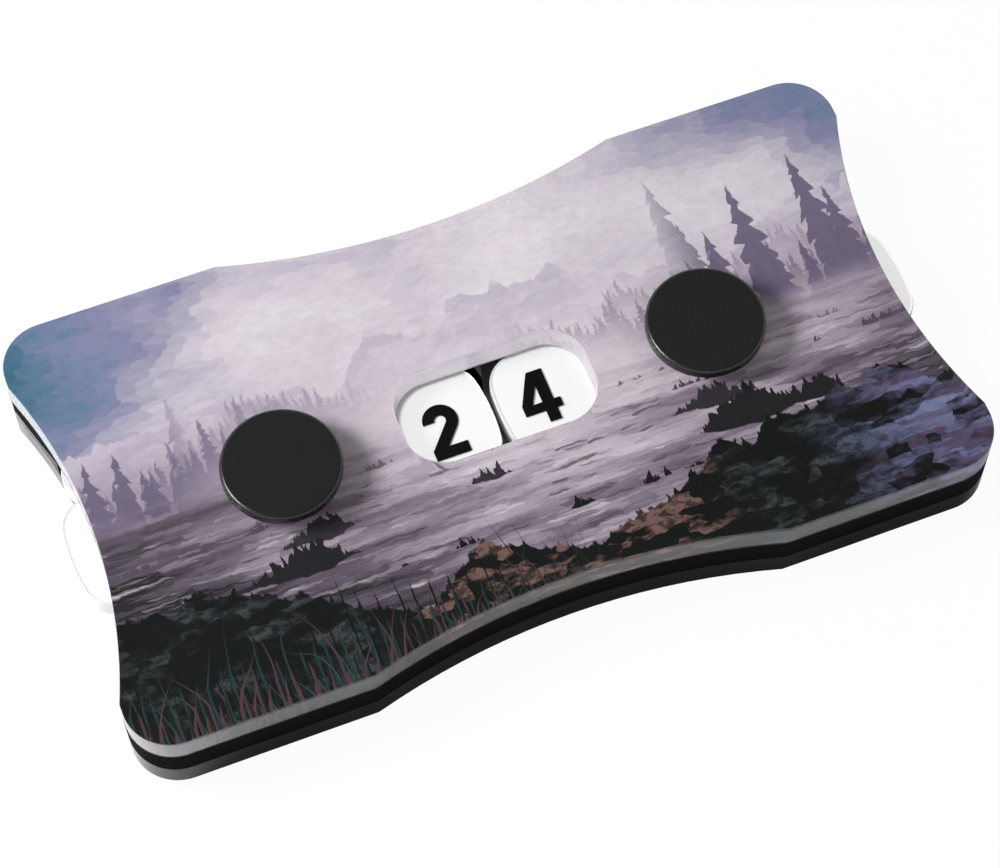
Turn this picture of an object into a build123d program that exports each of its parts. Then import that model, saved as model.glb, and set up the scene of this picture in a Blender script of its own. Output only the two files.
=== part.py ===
from build123d import *
import os
from math import acos, asin, cos, degrees, radians, sin, tan

# A two-dial life counter for card games. Three acrylic sheets are stacked and held by two
# binding posts. The middle sheet is cut away round two lobed dials, one for the tens and one
# for the units. Each dial turns on its post, is pushed with a thumb where its lobes stand out
# of the short ends, and shows one of its ten numerals in the window of the front sheet.
# The origin is on the table under the middle. +X runs along the length, +Z points up out of
# the printed face, and -Y is the side of a reader who sees the numerals upright.

# Dials
dial_diameter = 43.5
dial_gap = 0.5
dial_reach = 2.83
dial_play = 0.1
lobe_count = 10
lobe_lead = 1.75
notch_root = 0.4
notch_depth = 2.05
lobe_corner_radius = 3.15

# Sheets of the case
front_sheet = 2.8
print_film = 0.1
backing_film = 0.1
spacer_sheet = 3.0
back_sheet = 3.0
edge_break = 0.12

# Outline of the sheets
plate_corner_radius = 4.7
recess_clearance = 0.55
recess_wall = 1.2
long_scoop_depth = 2.95
long_side_flat = 18.4
end_scoop_depth = 3.08
end_side_flat = 1.1

# Window in the front sheet
window_length = 19.7
window_width = 10.4
window_corner_radius = 4.0

# Binding posts and their screws
post_head_diameter = 11.9
post_head_height = 1.1
post_head_round = 0.35
barrel_diameter = 5.0
barrel_hole_clearance = 0.1
barrel_end_gap = 0.3
barrel_cap = 1.4
screw_diameter = 3.2
thread_clearance = 0.05
screw_end_gap = 0.6
screw_slot_width = 1.2
screw_slot_depth = 0.5

# Bushings, glide washers and friction rings
bushing_wall = 1.4
running_clearance = 0.06
washer_thickness = 0.15
washer_width = 3.0
washer_clearance = 0.15

# Numerals
numeral_height = 5.9
numeral_stroke = 1.2
numeral_ink = 0.06
tens_numeral_inset = 5.25
units_numeral_inset = 4.25
tens_numeral_drop = 0.25
units_numeral_drop = 0.1
two_neck_angle = 40
tens_shown = 2
units_shown = 4

# Shape of the slanted numerals, as shares of the numeral height or stroke
one_flag_share = 0.2
four_reach_share = 0.333
four_stem_share = 0.016
four_apex_share = -0.052
four_bar_top_share = -0.11
four_bar_stroke_share = 0.84
four_elbow_share = -0.079
four_counter_top_share = 0.224
four_counter_left_share = -0.15
seven_foot_share = -0.13
seven_neck_stroke_share = 1.15

# Length by which a cutting solid runs past the face that it cuts
overrun = 1.0

# Sizes that follow from the ones above
dial_radius = dial_diameter / 2
dial_spacing = dial_diameter + dial_gap
axis_offset = dial_spacing / 2
lobe_pitch = 360 / lobe_count
recess_radius = dial_radius + recess_clearance
plate_width = 2 * (recess_radius + recess_wall)
plate_length = dial_spacing + 2 * (dial_radius - dial_reach + end_scoop_depth)
long_scoop_chord = plate_length - 2 * (plate_corner_radius + long_side_flat)
end_scoop_chord = plate_width - 2 * (plate_corner_radius + end_side_flat)

back_plate_bottom = post_head_height
spacer_bottom = back_plate_bottom + back_sheet
backing_bottom = spacer_bottom + spacer_sheet
print_bottom = backing_bottom + backing_film
front_plate_bottom = print_bottom + print_film
front_plate_top = front_plate_bottom + front_sheet

dial_thickness = spacer_sheet - 2 * (washer_thickness + dial_play)
dial_bottom = spacer_bottom + washer_thickness + dial_play
dial_top = dial_bottom + dial_thickness
glide_washer_bottom = backing_bottom - washer_thickness

barrel_radius = barrel_diameter / 2
barrel_hole_radius = barrel_radius + barrel_hole_clearance
bushing_radius = barrel_hole_radius + bushing_wall
dial_bore_radius = bushing_radius + running_clearance
washer_bore_radius = bushing_radius + washer_clearance
washer_radius = washer_bore_radius + washer_width
barrel_bottom = back_plate_bottom + barrel_end_gap
thread_top = front_plate_top - barrel_cap
screw_top = thread_top - screw_end_gap

half_numeral = numeral_height / 2
bowl_radius = (numeral_height + numeral_stroke) / 4
bowl_inner_radius = bowl_radius - numeral_stroke
bowl_centre = half_numeral - bowl_radius

sides = {"left": -1, "right": 1}


def slab(face, bottom, thickness):
    """A flat sheet cut to the given outline."""
    return Pos(0, 0, bottom) * extrude(face, amount=thickness)


def at_axis(side, piece):
    """The piece moved from the origin to the axis of one dial."""
    return Pos(sides[side] * axis_offset, 0, 0) * piece


def scoop(chord, depth):
    """The disc that takes a shallow scoop of this chord and depth out of a side at Y = 0."""
    radius = ((chord / 2) ** 2 + depth ** 2) / (2 * depth)
    return Pos(0, radius - depth, 0) * Circle(radius)


def plate_outline():
    """The outline that all three sheets share: a rounded rectangle with four scooped sides."""
    outline = RectangleRounded(plate_length, plate_width, plate_corner_radius)
    long_scoop = Pos(0, plate_width / 2, 0) * scoop(long_scoop_chord, long_scoop_depth)
    end_scoop = Pos(0, plate_length / 2, 0) * scoop(end_scoop_chord, end_scoop_depth)
    for turn in (0, 180):
        outline -= Rot(0, 0, turn) * long_scoop
        outline -= Rot(0, 0, turn + 90) * end_scoop
    return outline


def post_holes():
    """The two holes that the barrels of the binding posts pass through."""
    return Sketch() + [at_axis(side, Circle(barrel_hole_radius)) for side in sides]


def window():
    """The opening through which one numeral of each dial is read."""
    return RectangleRounded(window_length, window_width, window_corner_radius)


def rim_edges(sheet):
    """The edges round the top and bottom faces of a sheet."""
    return sheet.edges().group_by(Axis.Z)[0] + sheet.edges().group_by(Axis.Z)[-1]


def sheet_with_broken_edges(face, bottom, thickness):
    """An acrylic sheet whose sharp edges are broken with a small chamfer."""
    sheet = slab(face, bottom, thickness)
    return chamfer(rim_edges(sheet), edge_break)


def front_plate():
    """The clear sheet on top, with the window."""
    face = plate_outline() - window() - post_holes()
    return sheet_with_broken_edges(face, front_plate_bottom, front_sheet)


def printed_film(bottom, thickness):
    """A printed layer under the front sheet, cut out at the window like the sheet itself."""
    return slab(plate_outline() - window() - post_holes(), bottom, thickness)


def back_plate():
    """The sheet underneath, which closes the case."""
    return sheet_with_broken_edges(plate_outline() - post_holes(), back_plate_bottom, back_sheet)


def dial_recesses():
    """The room that both dials need in the middle sheet."""
    return Sketch() + [at_axis(side, Circle(recess_radius)) for side in sides]


def spacer(direction):
    """One half of the middle sheet. The recesses meet at X = 0 and leave two pieces."""
    middle = slab(plate_outline() - dial_recesses(), spacer_bottom, spacer_sheet)
    halves = middle.solids().sort_by(Axis.Y)
    return halves[0] if direction < 0 else halves[-1]


def ring(outer_radius, inner_radius, bottom, thickness):
    """A flat ring round the Z axis."""
    return slab(Circle(outer_radius) - Circle(inner_radius), bottom, thickness)


def binding_post():
    """A plain flat head and a barrel with a blind threaded hole, drawn without its thread."""
    head = slab(Circle(post_head_diameter / 2), front_plate_top, post_head_height)
    head = fillet(head.edges().group_by(Axis.Z)[-1], post_head_round)
    barrel = slab(Circle(barrel_radius), barrel_bottom, front_plate_top - barrel_bottom)
    thread_radius = screw_diameter / 2 + thread_clearance
    thread = slab(Circle(thread_radius), barrel_bottom - overrun, thread_top - barrel_bottom + overrun)
    return head + barrel - thread


def post_screw():
    """The slotted screw that closes a binding post from below. The counter rests on its head."""
    head = slab(Circle(post_head_diameter / 2), 0, post_head_height)
    head = fillet(head.edges().group_by(Axis.Z)[0], post_head_round)
    shank = slab(Circle(screw_diameter / 2), post_head_height, screw_top - post_head_height)
    slot_length = post_head_diameter + 2 * overrun
    slot = Rectangle(slot_length, screw_slot_width)
    return head + shank - slab(slot, -overrun, overrun + screw_slot_depth)


def bushing():
    """The sleeve that a dial turns on. It is as tall as the middle sheet and takes the clamping."""
    return ring(bushing_radius, barrel_hole_radius, spacer_bottom, spacer_sheet)


def polar(radius, angle):
    """The point at this distance and direction from the axis of a dial."""
    return Vector(radius, 0, 0).rotate(Axis.Z, angle)


def corner_arc(centre, start, end):
    """The rounded corner of a lobe, from one end to the other."""
    middle = centre + ((start - centre) + (end - centre)).normalized() * lobe_corner_radius
    return ThreePointArc(start, middle, end)


def dial_outline():
    """A disc with ten lobes, whose corners are round enough to roll under a thumb."""
    root_radius = dial_radius - notch_depth
    root_angle = lobe_pitch / 2 - degrees(asin(notch_root / 2 / root_radius))
    centre_radius = dial_radius - lobe_corner_radius
    chord = centre_radius ** 2 + root_radius ** 2 - lobe_corner_radius ** 2
    rim_angle = root_angle - degrees(acos(chord / (2 * centre_radius * root_radius)))
    edges = []
    for index in range(lobe_count):
        lobe = lobe_lead + index * lobe_pitch
        rim_start = polar(dial_radius, lobe - rim_angle)
        rim_end = polar(dial_radius, lobe + rim_angle)
        root_start = polar(root_radius, lobe - root_angle)
        root_end = polar(root_radius, lobe + root_angle)
        edges.append(corner_arc(polar(centre_radius, lobe - rim_angle), root_start, rim_start))
        edges.append(ThreePointArc(rim_start, polar(dial_radius, lobe), rim_end))
        edges.append(corner_arc(polar(centre_radius, lobe + rim_angle), rim_end, root_end))
        edges.append(Line(root_end, polar(root_radius, lobe + lobe_pitch - root_angle)))
    return make_face(edges)


def dial():
    """A white dial with its bore, lying between its two washers."""
    return slab(dial_outline() - Circle(dial_bore_radius), dial_bottom, dial_thickness)


def bar(left, right, low, high):
    """A straight stroke with square ends."""
    return Pos((left + right) / 2, (low + high) / 2, 0) * Rectangle(right - left, high - low)


def outline_of(*corners):
    """A face with straight sides through the given corners."""
    return make_face(Polyline(*corners, close=True))


def bowl(centre_y):
    """A round stroke. Two of them, one on top of the other, share one stroke in the middle."""
    return Pos(0, centre_y, 0) * (Circle(bowl_radius) - Circle(bowl_inner_radius))


def numeral_zero():
    outside = SlotOverall(numeral_height, 2 * bowl_radius, rotation=90)
    inside = SlotOverall(numeral_height - 2 * numeral_stroke, 2 * bowl_inner_radius, rotation=90)
    return outside - inside


def numeral_one():
    flag = one_flag_share * numeral_height
    stem_left = -numeral_stroke / 2
    low = half_numeral - flag - numeral_stroke / 2
    slanted = outline_of(
        (stem_left, half_numeral),
        (stem_left - flag, half_numeral - flag),
        (stem_left - flag, low - flag / 2),
        (stem_left, low),
    )
    return bar(stem_left, numeral_stroke / 2, -half_numeral, half_numeral) + slanted


def numeral_two():
    angle = radians(two_neck_angle)
    far = numeral_height
    below_neck = outline_of(
        (0, bowl_centre),
        (far * cos(angle), bowl_centre - far * sin(angle)),
        (0, -far),
        (-far, -far),
        (-far, bowl_centre),
    )
    inner = (bowl_inner_radius * cos(angle), bowl_centre - bowl_inner_radius * sin(angle))
    outer = (bowl_radius * cos(angle), bowl_centre - bowl_radius * sin(angle))
    foot = [(x - (y + half_numeral) * tan(angle), -half_numeral) for x, y in (outer, inner)]
    neck = outline_of(inner, outer, *foot) & bar(-bowl_radius, bowl_radius, -half_numeral, half_numeral)
    base = bar(-bowl_radius, bowl_radius, -half_numeral, numeral_stroke - half_numeral)
    return bowl(bowl_centre) - below_neck + neck + base


def numeral_three():
    left_gap = bar(-2 * bowl_radius, -bowl_inner_radius / 2, -bowl_centre, bowl_centre)
    return bowl(bowl_centre) + bowl(-bowl_centre) - left_gap


def numeral_four():
    reach = four_reach_share * numeral_height
    stem_left = four_stem_share * numeral_height
    stem_right = stem_left + numeral_stroke
    bar_top = four_bar_top_share * numeral_height
    bar_bottom = bar_top - four_bar_stroke_share * numeral_stroke
    arm = outline_of(
        (four_apex_share * numeral_height, half_numeral),
        (stem_right, half_numeral),
        (stem_right, bar_bottom),
        (-reach, bar_bottom),
        (-reach, four_elbow_share * numeral_height),
    )
    counter = outline_of(
        (stem_left, four_counter_top_share * numeral_height),
        (stem_left, bar_top),
        (four_counter_left_share * numeral_height, bar_top),
    )
    stem = bar(stem_left, stem_right, -half_numeral, bar_top)
    return arm - counter + stem + bar(stem_left, reach, bar_bottom, bar_top)


def numeral_five():
    stem_right = numeral_stroke - bowl_radius
    stem_bottom = -numeral_stroke / 8
    top = bar(-bowl_radius, bowl_radius, half_numeral - numeral_stroke, half_numeral)
    stem = bar(-bowl_radius, stem_right, stem_bottom, half_numeral)
    left_gap = outline_of(
        (-2 * bowl_radius, -bowl_centre),
        (0, -bowl_centre),
        (stem_right, stem_bottom),
        (-2 * bowl_radius, stem_bottom),
    )
    return bowl(-bowl_centre) - left_gap + top + stem


def numeral_six():
    right_gap = bar(0, 2 * bowl_radius, -bowl_centre, bowl_centre)
    return numeral_zero() - right_gap + bowl(-bowl_centre)


def numeral_seven():
    foot_left = seven_foot_share * numeral_height
    neck_left = bowl_radius - seven_neck_stroke_share * numeral_stroke
    bar_low = half_numeral - numeral_stroke
    leg = outline_of(
        (bowl_radius, bar_low),
        (foot_left + numeral_stroke, -half_numeral),
        (foot_left, -half_numeral),
        (neck_left, bar_low),
    )
    return bar(-bowl_radius, bowl_radius, bar_low, half_numeral) + leg


def numeral_eight():
    return bowl(bowl_centre) + bowl(-bowl_centre)


def numeral_nine():
    return Rot(0, 0, 180) * numeral_six()


numeral_faces = (
    numeral_zero,
    numeral_one,
    numeral_two,
    numeral_three,
    numeral_four,
    numeral_five,
    numeral_six,
    numeral_seven,
    numeral_eight,
    numeral_nine,
)


def numerals(shown, inset, drop, towards):
    """Ten printed numerals on one dial. The shown one stands upright on the side of the window.

    towards is +1 where the window lies on the +X side of the dial and -1 where it lies on the
    other side. Pulling the outer lobes towards the reader brings up the next higher numeral.
    drop is how far the shown numeral lies towards the reader from the line through both axes.
    """
    place = Pos(towards * (dial_radius - inset), -drop, dial_top)
    printed = []
    for value, face in enumerate(numeral_faces):
        turn = towards * (shown - value) * lobe_pitch
        printed += (Rot(0, 0, turn) * place * extrude(face(), amount=numeral_ink)).solids()
    return printed


pieces = {
    "front_plate": front_plate(),
    "print_layer": printed_film(print_bottom, print_film),
    "print_backing": printed_film(backing_bottom, backing_film),
    "rear_spacer": spacer(1),
    "front_spacer": spacer(-1),
    "back_plate": back_plate(),
    "tens_dial": at_axis("left", dial()),
    "units_dial": at_axis("right", dial()),
}
printed_sides = {
    "tens": ("left", numerals(tens_shown, tens_numeral_inset, tens_numeral_drop, 1)),
    "units": ("right", numerals(units_shown, units_numeral_inset, units_numeral_drop, -1)),
}
for name, (side, printed) in printed_sides.items():
    pieces[name + "_numerals"] = Compound(children=[at_axis(side, numeral) for numeral in printed])
for side in sides:
    pieces[side + "_binding_post"] = at_axis(side, binding_post())
    pieces[side + "_post_screw"] = at_axis(side, post_screw())
    pieces[side + "_bushing"] = at_axis(side, bushing())
    glide_washer = ring(washer_radius, washer_bore_radius, glide_washer_bottom, washer_thickness)
    friction_ring = ring(washer_radius, washer_bore_radius, spacer_bottom, washer_thickness)
    pieces[side + "_glide_washer"] = at_axis(side, glide_washer)
    pieces[side + "_friction_ring"] = at_axis(side, friction_ring)

os.makedirs("parts", exist_ok=True)
for name, piece in pieces.items():
    export_step(piece, "parts/" + name + ".step")
print("nodes", len(pieces), "plate", round(plate_length, 2), "by", round(plate_width, 2))
print("height", round(front_plate_top + post_head_height, 2), "dial thickness", round(dial_thickness, 2))
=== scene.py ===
from math import acos, asin, cos, pi, radians, sin

import bmesh
import bpy
from mathutils import Matrix, Vector


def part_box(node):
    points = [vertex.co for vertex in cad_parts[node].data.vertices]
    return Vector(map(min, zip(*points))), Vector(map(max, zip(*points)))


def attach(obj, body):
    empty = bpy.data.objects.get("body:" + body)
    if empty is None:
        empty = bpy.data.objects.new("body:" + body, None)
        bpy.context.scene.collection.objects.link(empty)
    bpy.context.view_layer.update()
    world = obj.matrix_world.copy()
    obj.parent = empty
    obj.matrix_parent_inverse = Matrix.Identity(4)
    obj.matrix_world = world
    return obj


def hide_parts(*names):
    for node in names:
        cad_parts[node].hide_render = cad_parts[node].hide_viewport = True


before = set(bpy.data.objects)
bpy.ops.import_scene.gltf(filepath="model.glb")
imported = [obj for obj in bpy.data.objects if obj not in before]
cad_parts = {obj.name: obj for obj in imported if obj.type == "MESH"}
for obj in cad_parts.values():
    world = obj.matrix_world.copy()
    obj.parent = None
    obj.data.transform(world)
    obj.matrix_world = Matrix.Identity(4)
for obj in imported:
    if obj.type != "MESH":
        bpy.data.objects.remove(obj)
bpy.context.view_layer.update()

# %% [markdown]
# Most sizes can be read off the model instead of being typed again. A node's box gives its lowest
# and highest corner, and the height of a sheet, the axis of a dial and the size of a head follow
# from that. Only what a box can't tell, such as a corner radius, has to be typed.
# %% Read the sizes off the model
MM = 0.001
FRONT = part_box("front_plate")
HALF_LENGTH = FRONT[1].x
HALF_WIDTH = FRONT[1].y
TOP = FRONT[1].z
sheet_size = [round(2 * half / MM, 1) for half in (HALF_LENGTH, HALF_WIDTH)]
print("sheet", sheet_size, "mm, face at", round(TOP / MM, 2))

# %% [markdown]
# The camera stands where the photographer's stood. A long lens from about thirty centimetres keeps
# the far edge nearly as long as the near one, as in the photo.
# The camera doesn't aim at the middle of the counter, so it slides a little along its own axes.
# %% Set up the camera
CAMERA_AZIMUTH = radians(-21.045)
CAMERA_ELEVATION = radians(62.765)
CAMERA_ROLL = radians(0.049)
CAMERA_DISTANCE = 293.84 * MM
CAMERA_SLIDE_RIGHT = 0.399 * MM
CAMERA_SLIDE_UP = -3.759 * MM
CAMERA_LENS = 109.01

back = Vector((
    sin(CAMERA_AZIMUTH) * cos(CAMERA_ELEVATION),
    -cos(CAMERA_AZIMUTH) * cos(CAMERA_ELEVATION),
    sin(CAMERA_ELEVATION),
))
level = Vector((0, 0, 1)).cross(back).normalized()
right = level * cos(CAMERA_ROLL) + back.cross(level) * sin(CAMERA_ROLL)
up = back.cross(right)
camera_data = bpy.data.cameras.new("camera")
camera_data.lens = CAMERA_LENS
camera_data.clip_start = CAMERA_DISTANCE / 10
camera = bpy.data.objects.new("camera", camera_data)
bpy.context.scene.collection.objects.link(camera)
place = Vector((0, 0, TOP)) + back * CAMERA_DISTANCE + right * CAMERA_SLIDE_RIGHT + up * CAMERA_SLIDE_UP
camera.matrix_world = Matrix((right, up, back)).transposed().to_4x4()
camera.location = place
bpy.context.scene.camera = camera
print("camera", [round(value / MM, 1) for value in place])

# %% [markdown]
# A material is a small tree of nodes. Writing every node out by hand hides what the tree does, so a
# few short helpers come first: one starts a material, and the others add one node each and return
# its output, so that a finish reads like a recipe.
# %% Helpers for materials
def new_material(name):
    """An empty material with its node tree, ready for a shader."""
    material = bpy.data.materials.new(name)
    material.use_nodes = True
    material.node_tree.nodes.clear()
    return material, material.node_tree


def add(tree, kind, **settings):
    """One new node of this kind with its settings."""
    node = tree.nodes.new("ShaderNode" + kind)
    for name, value in settings.items():
        setattr(node, name, value)
    return node


def feed(tree, socket, value):
    """Links an output to a socket, or writes a plain value into it."""
    if isinstance(value, bpy.types.NodeSocket):
        tree.links.new(value, socket)
    else:
        socket.default_value = value


def feed_row(tree, sockets, values):
    """Feeds a row of sockets."""
    for socket, value in zip(sockets, values):
        feed(tree, socket, value)


def fill(tree, node, **values):
    """Feeds the inputs of a node by their names."""
    for name, value in values.items():
        feed(tree, node.inputs[name.replace("_", " ")], value)


def calc(tree, operation, *values, clamp=False):
    """A Math node on one, two or three values."""
    node = add(tree, "Math", operation=operation, use_clamp=clamp)
    feed_row(tree, node.inputs, values)
    return node.outputs[0]


def times(tree, first, second):
    """The product of two values."""
    return calc(tree, "MULTIPLY", first, second)


def plus(tree, first, second):
    """The sum of two values."""
    return calc(tree, "ADD", first, second)


def minus(tree, first, second):
    """The first value less the second."""
    return calc(tree, "SUBTRACT", first, second)


def linear(tree, value, factor, offset):
    """A value times a factor, plus an offset."""
    return calc(tree, "MULTIPLY_ADD", value, factor, offset)


def away_from(tree, value, middle):
    """How far a value lies to either side of a middle."""
    return calc(tree, "ABSOLUTE", minus(tree, value, middle))


def step_up(tree, value, low, high):
    """Zero below low, one above high and a smooth slope between them."""
    node = add(tree, "MapRange", interpolation_type="SMOOTHSTEP")
    feed_row(tree, node.inputs, (value, low, high))
    return node.outputs[0]


def mix(tree, share, first, second):
    """Blends two colours."""
    node = add(tree, "Mix", data_type="RGBA")
    feed_row(tree, [node.inputs[place] for place in (0, 6, 7)], (share, first, second))
    return node.outputs[2]


def split_xyz(tree, vector):
    """The x, y and z of a vector."""
    node = add(tree, "SeparateXYZ")
    feed(tree, node.inputs[0], vector)
    return list(node.outputs)


def srgb(red, green, blue):
    """A colour as a screen shows it, from 0 to 255, in the linear values that a shader wants."""
    shares = []
    for value in (red / 255, green / 255, blue / 255):
        shares.append(value / 12.92 if value <= 0.04045 else ((value + 0.055) / 1.055) ** 2.4)
    return (*shares, 1.0)


def object_mm(tree, stretch=(1, 1, 1)):
    """Object coordinates in millimetres, stretched for the pattern at hand."""
    node = add(tree, "Mapping")
    place = add(tree, "TexCoord").outputs["Object"]
    fill(tree, node, Vector=place, Scale=[value / MM for value in stretch])
    return node.outputs[0]


print("helpers ready")

# %% [markdown]
# Some finishes change over the counter. A thumb wears its left end, the laser burns the ink along
# the outer edge, and the edges of the window look different from the outer ones. Each of these is a
# mask made from the object coordinates or from the normal, so one mask serves every sheet.
# %% Masks for wear and edges
WORN_FROM = -24.0
WORN_THROUGH = -44.0
WINDOW_X_FADE = (15.0, 12.0)
WINDOW_Y_FADE = (12.0, 8.0)
LEVEL_FACE = (0.3, 0.6)
BURNT_INK = srgb(20, 18, 19)


def wear(tree, power):
    """Nothing on most of the counter, rising to one at its left end, where the thumb rests."""
    x = split_xyz(tree, object_mm(tree))[0]
    reach = WORN_THROUGH - WORN_FROM
    towards_left = calc(tree, "MULTIPLY_ADD", x, 1 / reach, -WORN_FROM / reach, clamp=True)
    return calc(tree, "POWER", towards_left, power)


def in_window(tree):
    """One at the window and zero at the outer edges of the counter."""
    x, y = split_xyz(tree, object_mm(tree))[:2]
    across = step_up(tree, calc(tree, "ABSOLUTE", x), *WINDOW_X_FADE)
    return times(tree, across, step_up(tree, calc(tree, "ABSOLUTE", y), *WINDOW_Y_FADE))


def upward(tree):
    """How far a surface faces up, from one on a level top to minus one on an underside."""
    return split_xyz(tree, add(tree, "NewGeometry").outputs["Normal"])[2]


def scorched(tree, colour):
    """The colour of an ink, nearly black on the outer edge, where the cutting laser has burnt it."""
    level_face = step_up(tree, calc(tree, "ABSOLUTE", upward(tree)), *LEVEL_FACE)
    return mix(tree, calc(tree, "MAXIMUM", level_face, in_window(tree)), BURNT_INK, colour)


print("worn from x", WORN_FROM, "to", WORN_THROUGH, "mm")

# %% [markdown]
# A Principled shader takes the colour, the roughness and the normal of a surface. Noise makes all
# three a little uneven, because nothing real is quite the same from one millimetre to the next.
# %% Helpers for surfaces
def noise(tree, vector, scale, detail, roughness=0.5, dimensions="3D"):
    """Soft noise round one half."""
    node = add(tree, "TexNoise", noise_dimensions=dimensions)
    fill(tree, node, Vector=vector, Scale=scale, Detail=detail, Roughness=roughness)
    return node.outputs["Fac"]


def scaled(colour, factor):
    """The same colour, lighter or darker by a factor."""
    return [value * factor for value in colour[:3]] + [1]


def bump(tree, height, strength, distance):
    """Turns a height pattern into a bent normal."""
    node = add(tree, "Bump")
    fill(tree, node, Strength=strength, Distance=distance, Height=height)
    return node.outputs[0]


def principled(tree, colour, roughness, **others):
    """A Principled shader with its colour, its roughness and other inputs by name."""
    node = add(tree, "BsdfPrincipled")
    fill(tree, node, Base_Color=colour, Roughness=roughness, **others)
    return node.outputs[0]


def show(tree, surface):
    """Makes a shader the look of the material."""
    feed(tree, add(tree, "OutputMaterial").inputs["Surface"], surface)


print("surface helpers ready")

# %% [markdown]
# All three sheets are laser-cut acrylic. The middle one is black and matt on its cut edge, and the
# bottom one is smooth. At the left end a thumb has polished both, so that the white table shows in
# them, except in a dark lens at the top of the middle sheet. A laser leaves fine upright lines on a
# cut edge. Noise stretched along Z draws them, and a slow noise makes the gloss uneven. A painted
# shade darkens both sheets where they meet. Their level top faces are painted much lighter than
# their edges: painted light for the faces that show in the shaded gap between the dials.
# %% Black and dark acrylic
ACRYLIC_IOR = 1.49
SHEET_SEAM, SPACER_TOP = (corner.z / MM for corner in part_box("rear_spacer"))
# The next four constants set a painted shade: a dark band drawn where the two sheets meet.
SEAM_SHADE_LIFT = 0.35
SEAM_SHADE_FADE = (0.6, 0.15)
SEAM_SHADE_DEPTH = 0.75
SEAM_SHADE_BLACK = srgb(3, 3, 3)
TOP_FACE = (0.97, 0.995)
SMUDGE_SCALE = 0.22
SMUDGE_TINT = 0.35
SMUDGE_LIGHTNESS = 1.35
SMUDGE_ROUGHNESS = 0.12
LASER_LINE_SCALE = 5.0
LASER_LINE_STRETCH = 0.04
LASER_LINE_DEPTH = 0.02 * MM
RUB_POWER = 5.0
RUBBED_ROUGHNESS = 0.14
RUBBED_MIRROR = 0.5
EDGE_MIRROR = 0.02
FACE_MIRROR = 0.4
LENS_MIDDLE = 15.0
LENS_REACH = 5.6
LENS_DEPTH = 2.2
LENS_FADE = 0.1
FAR_HALF = (2.0, 6.0)


def outside_lens(tree, y, z):
    """One on the far half of an edge, but for a lens-shaped patch at the top of the middle sheet."""
    from_middle = linear(tree, y, 1 / LENS_REACH, -LENS_MIDDLE / LENS_REACH)
    squared = times(tree, from_middle, from_middle)
    lens = calc(tree, "SUBTRACT", 1.0, squared, clamp=True)
    raised = linear(tree, lens, LENS_DEPTH, z)
    under = step_up(tree, raised, SPACER_TOP + LENS_FADE, SPACER_TOP - LENS_FADE)
    return times(tree, under, step_up(tree, y, *FAR_HALF))


def acrylic(name, colour, top_colour_painted_light, base_roughness, line_strength, has_lens):
    """Opaque coloured acrylic with laser lines on its upright edges, glossier where it is worn, with a
    painted shade where the sheets meet and painted light on its top face.
    """
    material, tree = new_material(name)
    y, z = split_xyz(tree, object_mm(tree))[1:]
    smudges = noise(tree, object_mm(tree), SMUDGE_SCALE, detail=3)
    lines = noise(tree, object_mm(tree, stretch=(1, 1, LASER_LINE_STRETCH)), LASER_LINE_SCALE, detail=2)
    rubbed = wear(tree, RUB_POWER)
    if has_lens:
        rubbed = times(tree, rubbed, outside_lens(tree, y, z))
    smoothest = base_roughness - SMUDGE_ROUGHNESS / 2
    roughness = linear(tree, rubbed, RUBBED_ROUGHNESS - base_roughness, smoothest)
    roughness = linear(tree, smudges, SMUDGE_ROUGHNESS, roughness)
    # Painted shade: a dark band drawn where the middle sheet meets the bottom one.
    seam_shade = step_up(tree, away_from(tree, z, SHEET_SEAM + SEAM_SHADE_LIFT), *SEAM_SHADE_FADE)
    top_face = step_up(tree, upward(tree), *TOP_FACE)
    smudge = times(tree, smudges, SMUDGE_TINT)
    tint = mix(tree, smudge, colour, scaled(colour, SMUDGE_LIGHTNESS))
    tint = mix(tree, times(tree, seam_shade, SEAM_SHADE_DEPTH), tint, SEAM_SHADE_BLACK)
    # Painted light: the level top face takes its own, much lighter colour than the cut edges.
    tint = mix(tree, top_face, tint, top_colour_painted_light)
    normal = bump(tree, lines, line_strength, LASER_LINE_DEPTH)
    edge_gloss = linear(tree, rubbed, RUBBED_MIRROR - EDGE_MIRROR, EDGE_MIRROR)
    gloss = calc(tree, "MAXIMUM", edge_gloss, times(tree, top_face, FACE_MIRROR))
    others = {"Normal": normal, "IOR": ACRYLIC_IOR, "Specular_IOR_Level": gloss}
    show(tree, principled(tree, tint, roughness, **others))
    return material


# The top colours are painted light: they lighten the top faces that show deep in shade between the
# dials.
BLACK_ACRYLIC = acrylic(
    "black_acrylic", srgb(10, 10, 11), top_colour_painted_light=srgb(48, 46, 48),
    base_roughness=0.7, line_strength=0.5, has_lens=True,
)
DARK_ACRYLIC = acrylic(
    "dark_acrylic", srgb(20, 19, 21), top_colour_painted_light=srgb(130, 128, 130),
    base_roughness=0.14, line_strength=0.15, has_lens=False,
)
print("acrylic:", BLACK_ACRYLIC.name, DARK_ACRYLIC.name)

# %% [markdown]
# The face of the counter is a picture printed on the back of the clear sheet. This one is a made-up
# view over a misty lake: pale sky, ridges with conifers, water with streaks of light, and a dark
# bank with reeds. Each layer is a mask between two colours, and a mask is only a question asked of
# the millimetre coordinates, such as whether this point lies below a wavy line.
# %% Brushes for the print
def ramp(tree, value, *stops):
    """A row of colours that blend into each other as the value rises."""
    node = add(tree, "ValToRGB")
    elements = node.color_ramp.elements
    while len(elements) < len(stops):
        elements.new(0.5)
    for element, (position, colour) in zip(elements, stops):
        element.position = position
        element.color = colour
    feed(tree, node.inputs[0], value)
    return node.outputs[0]


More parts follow.
